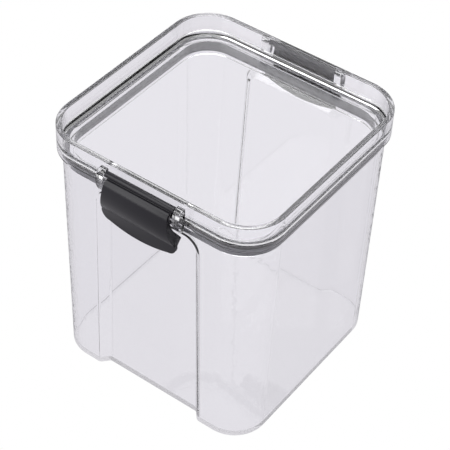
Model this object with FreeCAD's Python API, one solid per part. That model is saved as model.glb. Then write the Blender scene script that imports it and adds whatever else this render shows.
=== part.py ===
import FreeCAD, Part
import math
import os

# Square lidded food canister with two swing latches, in millimetres.
# Origin: centre of the underside of the base. +Z up, the latches face -Y (front) and +Y (back).
# Sections are written as (out, z): out is the distance from the canister's axis.

V = FreeCAD.Vector

# ---- canister body -------------------------------------------------------------------------------
LID_HALF = 72.5            # half width of the mouth and of the lid rim, the widest moulded size
CORNER_R = 24.4            # corner radius of the rim, the mouth band and the panel
WALL_CORNER_R = 26.6       # the same for the walls, the plug and the seal leg, if they were as wide
BASE_SHARPER = 1.2         # how much tighter the wall corners get down to the base
BODY_HEIGHT = 155.7        # top of the mouth
BASE_INSET = 4.2           # how much narrower each side is at the base than at the rim
SHOULDER_INSET = 2.1       # the same, just under the mouth band
MOUTH_BAND = 5.9           # height of the thicker band round the mouth
WALL = 2.2
FLOOR = 2.6
BASE_EDGE_R = 1.0
MOUTH_WALL = 2.0
MOUTH_EDGE_R = 0.7         # top of the mouth
SHOULDER_BEVEL = 1.0       # lets the latch catch slide off the mouth band
SEAL_LEDGE_DROP = 5.2      # from the top of the mouth to the inner ledge that the seal sits on

# ---- finger recess in the two latch sides --------------------------------------------------------
RECESS_DEPTH = 5.0
RECESS_TOP_DROP = 13.0     # from the top of the mouth to the top of the recess
RECESS_HALF_BASE = 36.4
RECESS_HALF_TOP = 33.8
RECESS_CORNER_R = 9.0
RECESS_SIDE_RUN = 4.6      # how far the side walls lean in over the depth
RECESS_TOP_RUN = 5.5       # how far the ceiling slopes down over the depth
RECESS_FLOOR_CORNER_R = 5.0
RECESS_BEND_R = 1.0        # inner radius where the wall bends into the recess and at its floor
RECESS_CUT_OUT = 3.0       # how far the cutting shape stands outside the wall
RECESS_CUT_DROP = 10.0     # how far it runs below the base

# ---- lid -----------------------------------------------------------------------------------------
LID_GAP = 0.3              # air between the lid and the mouth, all round
RIM_HEIGHT = 11.3          # rim wall above its lower edge
RIM_WALL = 3.2
RIM_TOP_R = 0.6
RIM_FOOT_R = 1.0
PANEL = 2.4
PANEL_DROP = 1.2           # top of the panel below the top of the mouth
PANEL_FILLET = 3.0         # inside corner between panel and rim
PLUG_INSET = 5.8           # from the rim face to the outside of the skirt that dips into the body
PLUG_WALL = 2.7
PLUG_DEPTH = 9.6           # below the underside of the panel
PLUG_EDGE_R = 0.8

# ---- seal ----------------------------------------------------------------------------------------
SEAL_FIT = 0.1             # between the seal and the lid or the ledge
SEAL_SLIDE = 0.35          # between the seal and the inside of the body
SEAL_LEG = 1.1
SEAL_LEG_DEPTH = 6.4       # below the flange
SEAL_EDGE_R = 0.5

# ---- latches and their hinge ---------------------------------------------------------------------
HINGE_OUT = 2.25           # hinge axis beyond the rim wall
HINGE_BELOW_TOP = 5.2      # hinge axis below the top of the rim
BARREL_R = 1.9
BARREL_HALF = 22.6
PIVOT_R = 1.2
PIVOT_LENGTH = 2.9
PIVOT_CLEARANCE = 0.05
EAR_SIDE_GAP = 0.4
EAR_THICK = 4.4
EAR_NOSE_R = 2.0
EAR_DROP = 12.6            # from the hinge axis to the foot of the ear
EAR_BELLY = (3.15, -6.1)   # fullest point of the ear: (out, up) from the hinge axis
EAR_FOOT_OUT = 2.6         # depth of the ear at its foot
EAR_BODY_GAP = 0.35        # between the ear and the mouth band behind it

PADDLE_TOP_HALF = 20.8     # front view: half widths at the top, the waist and the flare
PADDLE_WAIST_HALF = 22.2
PADDLE_FLARE_HALF = 24.3
PADDLE_TOP = 2.2           # front view: heights above the hinge axis
PADDLE_NECK = -2.3
PADDLE_WAIST = -12.6
PADDLE_FLARE = -23.1
PADDLE_CORNER = -30.2
LIP_CORNER_R = 4.5
LIP_BOW = 2.8              # how much lower the lip is in the middle
FACE_VALLEY = (1.5, -1.45)  # side view: (out, up) from the hinge axis, from the barrel down the face
FACE_SHOULDER = (2.6, -1.5)
FACE_RIDGE = (3.35, -2.2)
FACE_BROW = (4.5, -3.6)
FACE_TOP = (5.15, -5.4)
FACE_BELLY = (5.75, -10.3)
FACE_WAIST = (2.45, -22.8)
FACE_HOLLOW = (1.65, -27.8)
FACE_LIP = (2.05, -34.8)
LIP_THICK = 1.9
RAIL_ROOT = (-0.15, -23.8)
RAIL_TIP = (-4.05, -21.4)
RAIL_TIP_THICK = 0.6
RAIL_TOP = (0.75, -14.0)
BACK_WAIST = (2.35, -8.8)
BACK_NECK = (2.05, -3.8)
BACK_TOP = (-0.3, -1.6)
CATCH_HALF = 17.0
CATCH_BITE = 1.2           # how far the catch reaches under the mouth band
CATCH_GAP = 0.4            # between the catch and the band above it
CATCH_THICK = 2.6
CATCH_NOSE = 0.4           # bevel on the tip of the catch
CATCH_SINK = 0.6           # how far its root is sunk into the paddle

CUT_PAST = 1.0             # how far cutting shapes run past the surface they cut
FLAT = 0.01                # levels closer than this are the same level

# ---- levels and sizes that follow ----------------------------------------------------------------
CORNER_CENTRE = LID_HALF - CORNER_R
WALL_CENTRE = LID_HALF - WALL_CORNER_R
BASE_HALF = LID_HALF - BASE_INSET
SHOULDER_HALF = LID_HALF - SHOULDER_INSET
PLUG_HALF = LID_HALF - PLUG_INSET
SHOULDER_Z = BODY_HEIGHT - MOUTH_BAND
SEAL_LEDGE_Z = BODY_HEIGHT - SEAL_LEDGE_DROP
RECESS_TOP_Z = BODY_HEIGHT - RECESS_TOP_DROP
RIM_FOOT_Z = BODY_HEIGHT + LID_GAP
TOP_Z = RIM_FOOT_Z + RIM_HEIGHT
PANEL_TOP_Z = BODY_HEIGHT - PANEL_DROP
PANEL_UNDER_Z = PANEL_TOP_Z - PANEL
MOUTH_INNER = LID_HALF - MOUTH_WALL
PANEL_HALF = MOUTH_INNER - LID_GAP
AXIS_OUT = LID_HALF + HINGE_OUT
AXIS_Z = TOP_Z - HINGE_BELOW_TOP
DRAFT = math.atan((SHOULDER_HALF - BASE_HALF) / SHOULDER_Z)


def wall_half(z):
    """Outer half width of the drafted wall at height z."""
    return BASE_HALF + z * math.tan(DRAFT)


def wall_centre(z):
    """Corner centre of the drafted wall at height z."""
    return WALL_CENTRE + BASE_SHARPER * (1 - z / SHOULDER_Z)


def rounded_square(half, z, c):
    """Closed wire of the rounded square of this half width at height z; c places its corner centres."""
    r = half - c
    edges = []
    for k in range(4):
        turn = 90.0 * k
        line = Part.LineSegment(V(half, -c, z), V(half, c, z)).toShape()
        diag = r * math.sqrt(0.5)
        arc = Part.Arc(V(half, c, z), V(c + diag, c + diag, z), V(c, half, z)).toShape()
        for edge in (line, arc):
            edge.rotate(V(0, 0, 0), V(0, 0, 1), turn)
            edges.append(edge)
    return Part.Wire(edges)


def block(half_low, z_low, half_high, z_high):
    """Solid between two rounded squares."""
    low = rounded_square(half_low, z_low, wall_centre(z_low))
    high = rounded_square(half_high, z_high, wall_centre(z_high))
    return Part.makeLoft([low, high], True, True)


def prism(half, z_low, z_high, centre=CORNER_CENTRE):
    """Upright rounded square block."""
    return Part.Face(rounded_square(half, z_low, centre)).extrude(V(0, 0, z_high - z_low))


def edges_at(shape, z, out_max):
    """Edges lying flat at height z that stay within this distance from the axis on each side."""
    found = []
    for edge in shape.Edges:
        box = edge.BoundBox
        out = max(abs(box.XMin), abs(box.XMax), abs(box.YMin), abs(box.YMax))
        if abs(box.ZMin - z) < FLAT and abs(box.ZMax - z) < FLAT and out < out_max:
            found.append(edge)
    return found


def front_and_back(front):
    """The same shape on both latch sides."""
    back = front.copy()
    back.rotate(V(0, 0, 0), V(0, 0, 1), 180)
    return front, back


# ---- body ----------------------------------------------------------------------------------------

def recess_outline(depth, half_base, half_top, top_z, radius):
    """Door-shaped outline with a rounded top, on the plane this deep in the wall."""
    y = -BASE_HALF + depth
    low_z = -RECESS_CUT_DROP
    lean = (half_base - half_top) / RECESS_TOP_Z
    low_half = half_base - lean * low_z
    spring = V(half_top, y, top_z - radius)
    crown = V(half_top - radius, y, top_z)
    diag = radius * math.sqrt(0.5)
    middle = V(crown.x + diag, y, spring.z + diag)
    low = V(low_half, y, low_z)

    def flip(p):
        return V(-p.x, p.y, p.z)

    edges = [Part.LineSegment(flip(low), low).toShape(),
             Part.LineSegment(low, spring).toShape(),
             Part.Arc(spring, middle, crown).toShape(),
             Part.LineSegment(crown, flip(crown)).toShape(),
             Part.Arc(flip(crown), flip(middle), flip(spring)).toShape(),
             Part.LineSegment(flip(spring), flip(low)).toShape()]
    return Part.Wire(edges)


def recess_tool(skin):
    """Recess solid, grown by skin on its floor, sides and ceiling, and leaning with the wall."""
    side_slope = RECESS_SIDE_RUN / RECESS_DEPTH
    top_slope = RECESS_TOP_RUN / RECESS_DEPTH
    side_skin = skin * math.hypot(1, side_slope)
    top_skin = skin * math.hypot(1, top_slope)
    corner_step = (RECESS_CORNER_R - RECESS_FLOOR_CORNER_R) / RECESS_DEPTH
    outlines = []
    for depth in (-RECESS_CUT_OUT, RECESS_DEPTH + skin):
        side = side_skin - side_slope * depth
        top = RECESS_TOP_Z + top_skin - top_slope * depth
        outlines.append(recess_outline(depth, RECESS_HALF_BASE + side, RECESS_HALF_TOP + side, top,
                                       RECESS_CORNER_R - corner_step * depth + skin))
    tool = Part.makeLoft(outlines, True, True)
    floor_y = -BASE_HALF + RECESS_DEPTH + skin
    floor_edges = []
    for edge in tool.Edges:
        box = edge.BoundBox
        if abs(box.YMin - floor_y) < FLAT and abs(box.YMax - floor_y) < FLAT and box.ZMax > 0:
            floor_edges.append(edge)
    tool = tool.makeFillet(RECESS_BEND_R + skin, floor_edges)
    tool.rotate(V(0, -BASE_HALF, 0), V(1, 0, 0), math.degrees(DRAFT))
    return tool


def recess_mouth(shape, inset):
    """Edges round the recess where it meets the drafted wall, this far inside the outer face."""
    reach = RECESS_HALF_BASE + RECESS_SIDE_RUN
    found = []
    for edge in shape.Edges:
        points = [vertex.Point for vertex in edge.Vertexes]
        points.append(edge.valueAt((edge.FirstParameter + edge.LastParameter) / 2))
        off = max(abs(abs(p.y) - wall_half(p.z) + inset) for p in points)
        if off < FLAT and max(abs(p.x) for p in points) < reach:
            found.append(edge)
    return found


def canister_body():
    """Clear moulded tub: drafted walls, mouth band with an inner ledge, two finger recesses."""
    outer = block(BASE_HALF, 0, SHOULDER_HALF, SHOULDER_Z)
    for cut in front_and_back(recess_tool(0)):
        outer = outer.cut(cut)
    outer = outer.makeFillet(RECESS_BEND_R + WALL, recess_mouth(outer, 0))
    outer = outer.makeFillet(BASE_EDGE_R, edges_at(outer, 0, LID_HALF))
    band = prism(LID_HALF, SHOULDER_Z, BODY_HEIGHT)
    band = band.makeChamfer(SHOULDER_BEVEL, edges_at(band, SHOULDER_Z, LID_HALF + CUT_PAST))
    outer = outer.fuse(band)
    ledge_half = wall_half(SEAL_LEDGE_Z) - WALL
    cavity = block(wall_half(FLOOR) - WALL, FLOOR, ledge_half, SEAL_LEDGE_Z)
    cavity = cavity.makeFillet(BASE_EDGE_R, edges_at(cavity, FLOOR, LID_HALF))
    for skinned in front_and_back(recess_tool(WALL)):
        cavity = cavity.cut(skinned)
    cavity = cavity.makeFillet(RECESS_BEND_R, recess_mouth(cavity, WALL))
    cavity = cavity.fuse(prism(MOUTH_INNER, SEAL_LEDGE_Z, BODY_HEIGHT + CUT_PAST))
    body = outer.cut(cavity).removeSplitter()
    return body.makeFillet(MOUTH_EDGE_R, edges_at(body, BODY_HEIGHT, LID_HALF + CUT_PAST))


# ---- lid -----------------------------------------------------------------------------------------

def side_wire(points):
    """Closed wire in the YZ plane from (out, z) points; three-point entries are arcs (via, end)."""
    edges = []
    here = points[0]
    for step in points[1:] + [points[0]]:
        a = V(0, -here[0], here[1])
        if len(step) == 4:
            via = V(0, -step[0], step[1])
            end = (step[2], step[3])
            edges.append(Part.Arc(a, via, V(0, -end[0], end[1])).toShape())
        else:
            end = step
            edges.append(Part.LineSegment(a, V(0, -end[0], end[1])).toShape())
        here = end
    return Part.Wire(edges)


def side_slab(points, x_low, x_high):
    """Side section pushed along X."""
    slab = Part.Face(side_wire(points)).extrude(V(x_high - x_low, 0, 0))
    slab.translate(V(x_low, 0, 0))
    return slab


def front_cylinder(radius, x_low, x_high):
    """Round bar on the front hinge axis."""
    return Part.makeCylinder(radius, x_high - x_low, V(x_low, -AXIS_OUT, AXIS_Z), V(1, 0, 0))


def hinge_ears():
    """The pair of lugs that carry the front latch, bored for its pivots."""
    root = LID_HALF - RIM_WALL / 2
    foot_z = AXIS_Z - EAR_DROP
    band_out = LID_HALF + EAR_BODY_GAP
    foot_out = band_out + EAR_FOOT_OUT
    nose = AXIS_OUT + EAR_NOSE_R
    inner = BARREL_HALF + EAR_SIDE_GAP
    outline = [(root, AXIS_Z + EAR_NOSE_R),
               (root, RIM_FOOT_Z + RIM_FOOT_R),
               (band_out, RIM_FOOT_Z),
               (band_out, foot_z),
               (foot_out, foot_z),
               (AXIS_OUT + EAR_BELLY[0], AXIS_Z + EAR_BELLY[1], nose, AXIS_Z),
               (AXIS_OUT + EAR_NOSE_R * math.sqrt(0.5), AXIS_Z + EAR_NOSE_R * math.sqrt(0.5),
                AXIS_OUT, AXIS_Z + EAR_NOSE_R)]
    ears = []
    for x_low in (inner, -inner - EAR_THICK):
        ear = side_slab(outline, x_low, x_low + EAR_THICK)
        bore = front_cylinder(PIVOT_R + PIVOT_CLEARANCE, x_low - CUT_PAST, x_low + EAR_THICK + CUT_PAST)
        ears.append(ear.cut(bore))
    return ears


def lid():
    """Clear moulded lid: raised rim, flat panel, plug skirt and the four hinge ears."""
    rim = prism(LID_HALF, RIM_FOOT_Z, TOP_Z)
    rim = rim.makeFillet(RIM_TOP_R, edges_at(rim, TOP_Z, LID_HALF + CUT_PAST))
    rim = rim.makeFillet(RIM_FOOT_R, edges_at(rim, RIM_FOOT_Z, LID_HALF + CUT_PAST))
    rim_inner = LID_HALF - RIM_WALL
    well = prism(rim_inner, PANEL_TOP_Z, TOP_Z + CUT_PAST)
    well = well.makeFillet(PANEL_FILLET, edges_at(well, PANEL_TOP_Z, LID_HALF))
    panel = prism(PANEL_HALF, PANEL_UNDER_Z, RIM_FOOT_Z + RIM_FOOT_R)
    shell = rim.fuse(panel).cut(well)
    shell = shell.makeFillet(RIM_TOP_R, edges_at(shell, TOP_Z, rim_inner + FLAT))
    plug_z = PANEL_UNDER_Z - PLUG_DEPTH
    hollow = prism(PLUG_HALF - PLUG_WALL, plug_z, PANEL_UNDER_Z, WALL_CENTRE)
    plug = prism(PLUG_HALF, plug_z, PANEL_UNDER_Z, WALL_CENTRE).cut(hollow)
    plug = plug.makeFillet(PLUG_EDGE_R, edges_at(plug, plug_z, LID_HALF))
    shell = shell.fuse(plug)
    for ear in hinge_ears():
        for one in front_and_back(ear):
            shell = shell.fuse(one)
    return shell.removeSplitter()


# ---- seal ----------------------------------------------------------------------------------------

def lid_seal():
    """Silicone ring: a flange under the panel on the ledge, and a leg down the plug."""
    inner = PLUG_HALF + SEAL_FIT
    flange_top = PANEL_UNDER_Z - SEAL_FIT
    flange_low = SEAL_LEDGE_Z + SEAL_FIT
    flange = prism(MOUTH_INNER - SEAL_SLIDE, flange_low, flange_top)
    flange = flange.makeFillet(SEAL_EDGE_R, edges_at(flange, flange_low, LID_HALF))
    leg_low = flange_low - SEAL_LEG_DEPTH
    leg = prism(inner + SEAL_LEG, leg_low, flange_top, WALL_CENTRE)
    leg = leg.makeFillet(SEAL_EDGE_R, edges_at(leg, leg_low, LID_HALF))
    hole = prism(inner, leg_low - CUT_PAST, flange_top + CUT_PAST, WALL_CENTRE)
    return flange.fuse(leg).cut(hole).removeSplitter()


# ---- latch ---------------------------------------------------------------------------------------

def paddle_front_view():
    """Front view of the paddle as a deep block: it flares downwards and ends in a bowed lip."""
    y = -AXIS_OUT - PADDLE_FLARE_HALF
    corner_z = AXIS_Z + PADDLE_CORNER
    corner_x = PADDLE_FLARE_HALF - LIP_CORNER_R
    diag = LIP_CORNER_R * (1 - math.sqrt(0.5))
    right = [V(PADDLE_TOP_HALF, y, AXIS_Z + PADDLE_TOP),
             V(PADDLE_TOP_HALF, y, AXIS_Z + PADDLE_NECK),
             V(PADDLE_WAIST_HALF, y, AXIS_Z + PADDLE_WAIST),
             V(PADDLE_FLARE_HALF, y, AXIS_Z + PADDLE_FLARE),
             V(PADDLE_FLARE_HALF - diag, y, corner_z + diag),
             V(corner_x, y, corner_z)]
    left = [V(-p.x, p.y, p.z) for p in right]
    edges = [Part.LineSegment(left[0], right[0]).toShape(),
             Part.LineSegment(right[0], right[1]).toShape(),
             Part.Arc(right[1], right[2], right[3]).toShape(),
             Part.Arc(right[3], right[4], right[5]).toShape(),
             Part.Arc(right[5], V(0, y, corner_z - LIP_BOW), left[5]).toShape(),
             Part.Arc(left[5], left[4], left[3]).toShape(),
             Part.Arc(left[3], left[2], left[1]).toShape(),
             Part.LineSegment(left[1], left[0]).toShape()]
    return Part.Face(Part.Wire(edges)).extrude(V(0, 2 * PADDLE_FLARE_HALF, 0))


def from_axis(*steps):
    """Side-view point, or arc as (via, end), given from the hinge axis."""
    place = []
    for out, up in steps:
        place += [AXIS_OUT + out, AXIS_Z + up]
    return tuple(place)


def paddle():
    """The swinging plate: bevelled top, bellied face, thin lip and a finger rail behind it."""
    lip_back = (FACE_LIP[0] - LIP_THICK, FACE_LIP[1])
    rail_edge = (RAIL_TIP[0], RAIL_TIP[1] + RAIL_TIP_THICK)
    plate = side_slab([from_axis((0, 0)),
                       from_axis(FACE_VALLEY),
                       from_axis(FACE_SHOULDER),
                       from_axis(FACE_RIDGE),
                       from_axis(FACE_BROW, FACE_TOP),
                       from_axis(FACE_BELLY, FACE_WAIST),
                       from_axis(FACE_HOLLOW, FACE_LIP),
                       from_axis(lip_back),
                       from_axis(RAIL_ROOT),
                       from_axis(RAIL_TIP),
                       from_axis(rail_edge),
                       from_axis(RAIL_TOP),
                       from_axis(BACK_WAIST, BACK_NECK),
                       from_axis(BACK_TOP)],
                      -PADDLE_FLARE_HALF - CUT_PAST, PADDLE_FLARE_HALF + CUT_PAST)
    return plate.common(paddle_front_view())


def latch():
    """Front swing latch: paddle, hinge barrel with end pivots, and the catch."""
    band_low = SHOULDER_Z - CATCH_GAP
    catch_low = band_low - CATCH_THICK
    tip = LID_HALF - CATCH_BITE
    catch_root = AXIS_OUT + BACK_WAIST[0] + CATCH_SINK
    catch = side_slab([(tip, band_low - CATCH_NOSE),
                       (tip + CATCH_NOSE, band_low),
                       (catch_root, band_low),
                       (catch_root, catch_low),
                       (AXIS_OUT + RAIL_TOP[0], catch_low),
                       (tip, band_low - CATCH_THICK / 2)], -CATCH_HALF, CATCH_HALF)
    pivot_end = BARREL_HALF + PIVOT_LENGTH
    whole = paddle().fuse([front_cylinder(BARREL_R, -BARREL_HALF, BARREL_HALF), catch,
                           front_cylinder(PIVOT_R, -pivot_end, pivot_end)])
    return whole.removeSplitter()


os.makedirs("parts", exist_ok=True)
front_latch, back_latch = front_and_back(latch())
for name, shape in (("canister_body", canister_body()),
                    ("lid", lid()),
                    ("lid_seal", lid_seal()),
                    ("front_latch", front_latch),
                    ("back_latch", back_latch)):
    shape.exportStep("parts/" + name + ".step")
    print(name, shape.isValid(), len(shape.Solids), round(shape.Volume, 1))
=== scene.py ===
import math

import bpy
from bpy.props import FloatProperty, FloatVectorProperty, PointerProperty
from bpy.types import Operator, Panel, PropertyGroup
from bpy.utils import register_class, unregister_class
from mathutils import Matrix, Vector


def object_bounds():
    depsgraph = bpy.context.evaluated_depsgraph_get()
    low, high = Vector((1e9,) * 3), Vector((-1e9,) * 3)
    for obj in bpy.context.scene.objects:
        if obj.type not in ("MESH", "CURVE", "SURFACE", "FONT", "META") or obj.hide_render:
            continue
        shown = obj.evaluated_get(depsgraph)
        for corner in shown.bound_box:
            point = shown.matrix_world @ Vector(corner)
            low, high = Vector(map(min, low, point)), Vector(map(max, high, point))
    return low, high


bl_info = {
    "name": "Lidded Canister",
    "version": (1, 0, 0),
    "blender": (4, 5, 0),
    "location": "3D View > Sidebar > Canister",
    "description": "Finishes and stage for a clear square food canister with two swing latches",
    "category": "Object",
}

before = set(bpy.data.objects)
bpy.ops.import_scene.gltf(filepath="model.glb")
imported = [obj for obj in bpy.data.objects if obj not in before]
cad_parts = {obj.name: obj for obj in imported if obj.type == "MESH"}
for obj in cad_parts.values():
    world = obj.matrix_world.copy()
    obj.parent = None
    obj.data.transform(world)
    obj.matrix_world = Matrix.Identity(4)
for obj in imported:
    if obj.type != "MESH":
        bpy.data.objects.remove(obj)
CAD_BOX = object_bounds()
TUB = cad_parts["canister_body"]
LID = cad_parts["lid"]
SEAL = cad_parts["lid_seal"]
LATCHES = (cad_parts["front_latch"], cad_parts["back_latch"])
MM = 0.001

# Sockets of a colour Mix node: its two colours and its result.
MIX_FIRST, MIX_SECOND, MIX_RESULT = 6, 7, 2

# Clear plastic: waves left in the wall by the polished tool, and patches that handling has dulled.
WAVE_LENGTH = 18 * MM
WAVE_HEIGHT = 0.2 * MM
HAZE_PATCH = 9 * MM
HAZE_GAIN = 2

# Silicone: uneven shade, and the faint texture of its mould.
SILICONE_IOR = 1.41
SILICONE_ROUGHNESS = 0.42
SILICONE_MOTTLE = 6 * MM
SILICONE_LIGHTER = 1.25
SILICONE_GRAIN = 0.8 * MM
SILICONE_GRAIN_HEIGHT = 0.1 * MM
SILICONE_GRAIN_STRENGTH = 0.15

# Latch plastic: slow drift of shade and gloss, and the height of its spark texture.
ABS_IOR = 1.53
ABS_SPECULAR = 0.3
ABS_ROUGHNESS = (0.26, 0.34)
ABS_DRIFT = 12 * MM
ABS_LIGHTER = 1.2
ABS_GRAIN_HEIGHT = 0.05 * MM
ABS_GRAIN_STRENGTH = 0.12

# Latch edges: points closer than the weld are one, and sharper turns than the angle are rounded.
EDGE_WELD = 0.001 * MM
EDGE_ANGLE = math.radians(35)
EDGE_SEGMENTS = 3

# Stage, in metres and watts. The camera aims this far from the middle of the canister's box.
FLOOR_REACH = 6.0
WORLD_STRENGTH = 0.3
SOFTBOXES = (
    # name, place, point it is aimed at, width, power
    ("top_softbox", (0, 0, 2.2), (0, 0, 0), 1.6, 30),
    ("front_softbox", (-0.9, -1.48, 0.95), (0, -0.08, 0.16), 1.6, 22),
    ("back_softbox", (-0.83, 1.2, 1.37), (0, 0, 0.16), 2.0, 10),
)
LIGHT_CROSSINGS = 32
AIM_OFFSET = Vector((0.85, 1.95, -0.75)) * MM
SENSOR_WIDTH = 36
CLIP_NEAR, CLIP_FAR = 0.05, 50


# ---- colours and nodes ---------------------------------------------------------------------------

def linear(code):
    """Linear (r, g, b, 1) from an sRGB hex value."""
    parts = [int(code[i:i + 2], 16) / 255 for i in (0, 2, 4)]
    bright = [p / 12.92 if p <= 0.04045 else ((p + 0.055) / 1.055) ** 2.4 for p in parts]
    return (*bright, 1.0)


def add(tree, kind, settings=None, **links):
    """Adds a node. settings are its properties and socket values, links its inputs by name."""
    node = tree.nodes.new(kind)
    for key, value in (settings or {}).items():
        if key in node.inputs:
            node.inputs[key].default_value = value
        else:
            setattr(node, key, value)
    for name, source in links.items():
        tree.links.new(source, node.inputs[name.replace("_", " ")])
    return node


def start_material(name):
    """Empty node material and its node tree."""
    material = bpy.data.materials.new(name)
    material.use_nodes = True
    material.node_tree.nodes.clear()
    return material, material.node_tree


def put_on(node, material):
    """Gives a CAD piece one material."""
    node.data.materials.clear()
    node.data.materials.append(material)


# ---- clear plastic -------------------------------------------------------------------------------

def clear_styrene(name, look):
    """Clear styrene acrylonitrile, injection moulded against a polished tool.

    It is glass-clear with a faint cool cast, mirror-smooth, and its wall is not quite flat, so what
    is seen through it wavers a little.
    """
    material, tree = start_material(name)
    place = add(tree, "ShaderNodeTexCoord").outputs["Object"]
    # Slow waves in the polished wall bend the light seen through it.
    waves = add(tree, "ShaderNodeTexNoise", {"Scale": 1 / WAVE_LENGTH, "Detail": 1.0}, Vector=place)
    bump = add(tree, "ShaderNodeBump", {"Strength": look.waviness, "Distance": WAVE_HEIGHT},
               Height=waves.outputs["Fac"])
    # Handling haze: patches where the polish is a little duller.
    patches = add(tree, "ShaderNodeTexNoise", {"Scale": 1 / HAZE_PATCH, "Detail": 3.0}, Vector=place)
    haze = add(tree, "ShaderNodeMapRange",
               {"To Min": look.polish, "To Max": look.polish * HAZE_GAIN},
               Value=patches.outputs["Fac"])
    shader = add(tree, "ShaderNodeBsdfPrincipled",
                 {"Base Color": tuple(look.tint) + (1,), "IOR": look.ior,
                  "Transmission Weight": 1.0},
                 Roughness=haze.outputs["Result"], Normal=bump.outputs["Normal"])
    add(tree, "ShaderNodeOutputMaterial", Surface=shader.outputs["BSDF"])
    return material


# ---- silicone ------------------------------------------------------------------------------------

def silicone(look):
    """Translucent grey silicone, compression moulded: soft satin with a faint mould texture."""
    material, tree = start_material("moulded_silicone")
    place = add(tree, "ShaderNodeTexCoord").outputs["Object"]
    mottle = add(tree, "ShaderNodeTexNoise",
                 {"Scale": 1 / SILICONE_MOTTLE, "Detail": 4.0}, Vector=place)
    shade = add(tree, "ShaderNodeMix", {"data_type": "RGBA"}, Factor=mottle.outputs["Fac"])
    shade.inputs[MIX_FIRST].default_value = tuple(look.colour) + (1,)
    lighter = tuple(c * SILICONE_LIGHTER for c in look.colour)
    shade.inputs[MIX_SECOND].default_value = lighter + (1,)
    grain = add(tree, "ShaderNodeTexNoise",
                {"Scale": 1 / SILICONE_GRAIN, "Detail": 2.0}, Vector=place)
    bump = add(tree, "ShaderNodeBump",
               {"Strength": SILICONE_GRAIN_STRENGTH, "Distance": SILICONE_GRAIN_HEIGHT},
               Height=grain.outputs["Fac"])
    shader = add(tree, "ShaderNodeBsdfPrincipled",
                 {"IOR": SILICONE_IOR, "Roughness": SILICONE_ROUGHNESS,
                  "Transmission Weight": look.translucency},
                 Base_Color=shade.outputs[MIX_RESULT], Normal=bump.outputs["Normal"])
    add(tree, "ShaderNodeOutputMaterial", Surface=shader.outputs["BSDF"])
    return material


# ---- latch plastic -------------------------------------------------------------------------------

def latch_abs(look):
    """Dark grey ABS, moulded against a fine spark-eroded tool: even satin, soft wide highlights."""
    material, tree = start_material("moulded_grey_ABS")
    place = add(tree, "ShaderNodeTexCoord").outputs["Object"]
    drift = add(tree, "ShaderNodeTexNoise", {"Scale": 1 / ABS_DRIFT, "Detail": 3.0}, Vector=place)
    shade = add(tree, "ShaderNodeMix", {"data_type": "RGBA"}, Factor=drift.outputs["Fac"])
    shade.inputs[MIX_FIRST].default_value = tuple(look.colour) + (1,)
    lighter = tuple(c * ABS_LIGHTER for c in look.colour)
    shade.inputs[MIX_SECOND].default_value = lighter + (1,)
    # Spark texture is about 0.1 mm; the default grain is drawn at 0.35 mm so that it shows.
    grain = add(tree, "ShaderNodeTexNoise",
                {"Scale": 1 / look.grain, "Detail": 2.0}, Vector=place)
    bump = add(tree, "ShaderNodeBump",
               {"Strength": ABS_GRAIN_STRENGTH, "Distance": ABS_GRAIN_HEIGHT},
               Height=grain.outputs["Fac"])
    smooth, dull = ABS_ROUGHNESS
    rough = add(tree, "ShaderNodeMapRange", {"To Min": smooth, "To Max": dull},
                Value=drift.outputs["Fac"])
    shader = add(tree, "ShaderNodeBsdfPrincipled",
                 {"IOR": ABS_IOR, "Specular IOR Level": ABS_SPECULAR},
                 Base_Color=shade.outputs[MIX_RESULT], Roughness=rough.outputs["Result"],
                 Normal=bump.outputs["Normal"])
    add(tree, "ShaderNodeOutputMaterial", Surface=shader.outputs["BSDF"])
    return material


# ---- settings ------------------------------------------------------------------------------------

class ClearPlasticSettings(PropertyGroup):
    tint: FloatVectorProperty(name="Tint", description="Colour the light picks up at each surface",
                              subtype="COLOR", size=3, min=0, max=1, default=linear("FEFEFF")[:3])
    ior: FloatProperty(name="IOR", description="Index of refraction", default=1.55, min=1, max=2)
    polish: FloatProperty(name="Polish", description="Roughness of the polished surface",
                          default=0.01, min=0, max=1, subtype="FACTOR")
    waviness: FloatProperty(name="Waviness", description="How much the moulded wall wavers",
                            default=0.05, min=0, max=1, subtype="FACTOR")


class SealSettings(PropertyGroup):
    colour: FloatVectorProperty(name="Colour", description="Colour of the silicone",
                                subtype="COLOR", size=3, min=0, max=1, default=linear("9A99A0")[:3])
    translucency: FloatProperty(name="Translucency", description="Share of light let through",
                                default=0.35, min=0, max=1, subtype="FACTOR")


class LatchSettings(PropertyGroup):
    colour: FloatVectorProperty(name="Colour", description="Colour of the latch plastic",
                                subtype="COLOR", size=3, min=0, max=1, default=linear("201F24")[:3])
    grain: FloatProperty(name="Grain", description="Spacing of the moulded texture", unit="LENGTH",
                         default=0.35 * MM, min=0.05 * MM, max=5 * MM, precision=5)
    edge: FloatProperty(name="Edge radius", description="Rounding of the moulded edges",
                        unit="LENGTH", default=0.5 * MM, min=0, max=2 * MM, precision=5)


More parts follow.
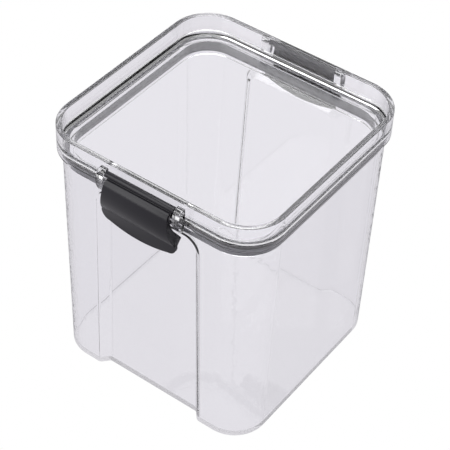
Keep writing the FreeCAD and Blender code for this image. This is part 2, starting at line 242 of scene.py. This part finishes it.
class StageSettings(PropertyGroup):
    floor: FloatVectorProperty(name="Floor", description="Colour of the floor in view",
                               subtype="COLOR", size=3, min=0, max=1, default=linear("FFFFFF")[:3])
    # Painted shade: the dimmer lavender-grey that rays other than camera rays meet on the floor.
    glow_and_painted_shade: FloatVectorProperty(name="Floor glow", description="Floor as other light meets it",
                              subtype="COLOR", size=3, min=0, max=1, default=linear("E4E2E7")[:3])
    # Painted shade: outer surfaces get only this share of the floor's light.
    painted_shade_spill: FloatProperty(name="Spill", description="Share of the glow that lights outer surfaces",
                         default=0.65, min=0, max=1, subtype="FACTOR")
    azimuth: FloatProperty(name="Azimuth", description="Camera turn from the front latch side",
                           subtype="ANGLE", default=math.radians(34.68))
    elevation: FloatProperty(name="Elevation", description="Camera height above the horizon",
                             subtype="ANGLE", default=math.radians(43.24))
    roll: FloatProperty(name="Roll", description="Camera tilt about its own line of sight",
                        subtype="ANGLE", default=math.radians(2.76))
    distance: FloatProperty(name="Distance", description="Camera to the canister's centre",
                            unit="LENGTH", default=0.9034, min=0.1)
    lens: FloatProperty(name="Lens", description="Focal length on a 36 mm sensor", unit="CAMERA",
                        default=125.1, min=10)


class CanisterSettings(PropertyGroup):
    plastic: PointerProperty(type=ClearPlasticSettings, name="Clear plastic",
                             description="Look of the tub and the lid")
    seal: PointerProperty(type=SealSettings, name="Seal", description="Look of the seal")
    latch: PointerProperty(type=LatchSettings, name="Latches", description="Look of the latches")
    stage: PointerProperty(type=StageSettings, name="Stage", description="Floor, light and camera")


# ---- operators -----------------------------------------------------------------------------------

class CANISTER_OT_tub(Operator):
    """Gives the tub its clear plastic"""
    bl_idname = "canister.tub"
    bl_label = "Tub"

    def execute(self, context):
        put_on(TUB, clear_styrene("moulded_clear_SAN_tub", context.scene.canister.plastic))
        return {"FINISHED"}


class CANISTER_OT_lid(Operator):
    """Gives the lid its clear plastic"""
    bl_idname = "canister.lid"
    bl_label = "Lid"

    def execute(self, context):
        put_on(LID, clear_styrene("moulded_clear_SAN_lid", context.scene.canister.plastic))
        return {"FINISHED"}


class CANISTER_OT_seal(Operator):
    """Gives the seal its silicone"""
    bl_idname = "canister.seal"
    bl_label = "Seal"

    def execute(self, context):
        put_on(SEAL, silicone(context.scene.canister.seal))
        return {"FINISHED"}


class CANISTER_OT_latches(Operator):
    """Gives both latches their satin plastic and softens their edges"""
    bl_idname = "canister.latches"
    bl_label = "Latches"

    def execute(self, context):
        look = context.scene.canister.latch
        material = latch_abs(look)
        for latch in LATCHES:
            put_on(latch, material)
            weld = latch.modifiers.new("Join", "WELD")
            weld.merge_threshold = EDGE_WELD
            bevel = latch.modifiers.new("Edge radius", "BEVEL")
            bevel.width = look.edge
            bevel.segments = EDGE_SEGMENTS
            bevel.limit_method = "ANGLE"
            bevel.angle_limit = EDGE_ANGLE
            bevel.harden_normals = True
        return {"FINISHED"}


def stage_piece(name, points, material):
    """Flat stage piece with four corners."""
    mesh = bpy.data.meshes.new(name)
    mesh.from_pydata(points, [], [tuple(range(len(points)))])
    piece = bpy.data.objects.new(name, mesh)
    bpy.context.scene.collection.objects.link(piece)
    mesh.materials.append(material)


def softbox(name, place, target, size, power):
    """Square area lamp aimed at a point."""
    lamp = bpy.data.lights.new(name, "AREA")
    lamp.shape = "SQUARE"
    lamp.size = size
    lamp.energy = power
    holder = bpy.data.objects.new(name, lamp)
    bpy.context.scene.collection.objects.link(holder)
    holder.location = place
    holder.rotation_euler = (Vector(target) - Vector(place)).to_track_quat("-Z", "Y").to_euler()


class CANISTER_OT_stage(Operator):
    """Makes the floor, the soft light and the camera"""
    bl_idname = "canister.stage"
    bl_label = "Stage"

    def execute(self, context):
        scene = context.scene
        look = scene.canister.stage
        low, high = CAD_BOX
        material, tree = start_material("light_table")
        path = add(tree, "ShaderNodeLightPath")
        # Painted shade: every ray but a camera ray sees the floor in the dimmer colour.
        sheet = add(tree, "ShaderNodeMix", {"data_type": "RGBA"},
                    Factor=path.outputs["Is Camera Ray"])
        sheet.inputs[MIX_FIRST].default_value = tuple(look.glow_and_painted_shade) + (1,)
        sheet.inputs[MIX_SECOND].default_value = tuple(look.floor) + (1,)
        # The floor is not one plain lit surface. Seen directly it is full white. Light that comes
        # through the clear plastic finds a dimmer lavender-grey, painted shade for the light lost
        # inside the canister, and outer surfaces get a share of that, painted shade on the floor
        # light they reflect.
        painted_shade_spill = add(tree, "ShaderNodeMapRange", {"To Min": look.painted_shade_spill, "To Max": 1.0},
                    Value=path.outputs["Is Transmission Ray"])
        level = add(tree, "ShaderNodeMath", {"operation": "MAXIMUM"})
        tree.links.new(painted_shade_spill.outputs["Result"], level.inputs[0])
        tree.links.new(path.outputs["Is Camera Ray"], level.inputs[1])
        glow_and_painted_shade = add(tree, "ShaderNodeEmission", Color=sheet.outputs[MIX_RESULT],
                   Strength=level.outputs["Value"])
        add(tree, "ShaderNodeOutputMaterial", Surface=glow_and_painted_shade.outputs["Emission"])
        turns = ((-1, -1), (1, -1), (1, 1), (-1, 1))
        points = [(x * FLOOR_REACH, y * FLOOR_REACH, low.z) for x, y in turns]
        stage_piece("floor", points, material)

        world = bpy.data.worlds.new("studio")
        world.use_nodes = True
        wt = world.node_tree
        wt.nodes.clear()
        back = add(wt, "ShaderNodeBackground",
                   {"Color": (1, 1, 1, 1), "Strength": WORLD_STRENGTH})
        add(wt, "ShaderNodeOutputWorld", Surface=back.outputs["Background"])
        scene.world = world
        for name, place, aim, size, power in SOFTBOXES:
            softbox(name, place, aim, size, power)

        # Light crosses the walls, the plug and the seal many times before it leaves the plastic.
        scene.cycles.max_bounces = LIGHT_CROSSINGS
        scene.cycles.transmission_bounces = LIGHT_CROSSINGS
        scene.view_settings.view_transform = "Standard"
        az, el, roll = look.azimuth, look.elevation, look.roll
        out = Vector((math.sin(az) * math.cos(el), -math.cos(az) * math.cos(el), math.sin(el)))
        right = Vector((math.cos(az), math.sin(az), 0))
        up = out.cross(right)
        across = right * math.cos(roll) + up * math.sin(roll)
        upward = up * math.cos(roll) - right * math.sin(roll)
        target = (low + high) / 2 + AIM_OFFSET
        camera = bpy.data.cameras.new("camera")
        camera.lens = look.lens
        camera.sensor_width = SENSOR_WIDTH
        holder = bpy.data.objects.new("camera", camera)
        scene.collection.objects.link(holder)
        turn = Matrix((across, upward, out)).transposed().to_4x4()
        holder.matrix_world = Matrix.Translation(target + out * look.distance) @ turn
        camera.clip_start, camera.clip_end = CLIP_NEAR, CLIP_FAR
        scene.camera = holder
        return {"FINISHED"}


class CANISTER_PT_panel(Panel):
    bl_label = "Canister"
    bl_idname = "CANISTER_PT_panel"
    bl_space_type = "VIEW_3D"
    bl_region_type = "UI"
    bl_category = "Canister"

    def draw(self, context):
        for operator in OPERATORS:
            self.layout.operator(operator.bl_idname)


OPERATORS = (CANISTER_OT_tub, CANISTER_OT_lid, CANISTER_OT_seal, CANISTER_OT_latches,
             CANISTER_OT_stage)
CLASSES = (ClearPlasticSettings, SealSettings, LatchSettings, StageSettings, CanisterSettings,
           *OPERATORS, CANISTER_PT_panel)


def register():
    for each in CLASSES:
        register_class(each)
    bpy.types.Scene.canister = PointerProperty(type=CanisterSettings)


def unregister():
    del bpy.types.Scene.canister
    for each in reversed(CLASSES):
        unregister_class(each)


def main():
    register()
    bpy.ops.canister.tub()
    bpy.ops.canister.lid()
    bpy.ops.canister.seal()
    bpy.ops.canister.latches()
    bpy.ops.canister.stage()


if __name__ == "__main__":
    main()
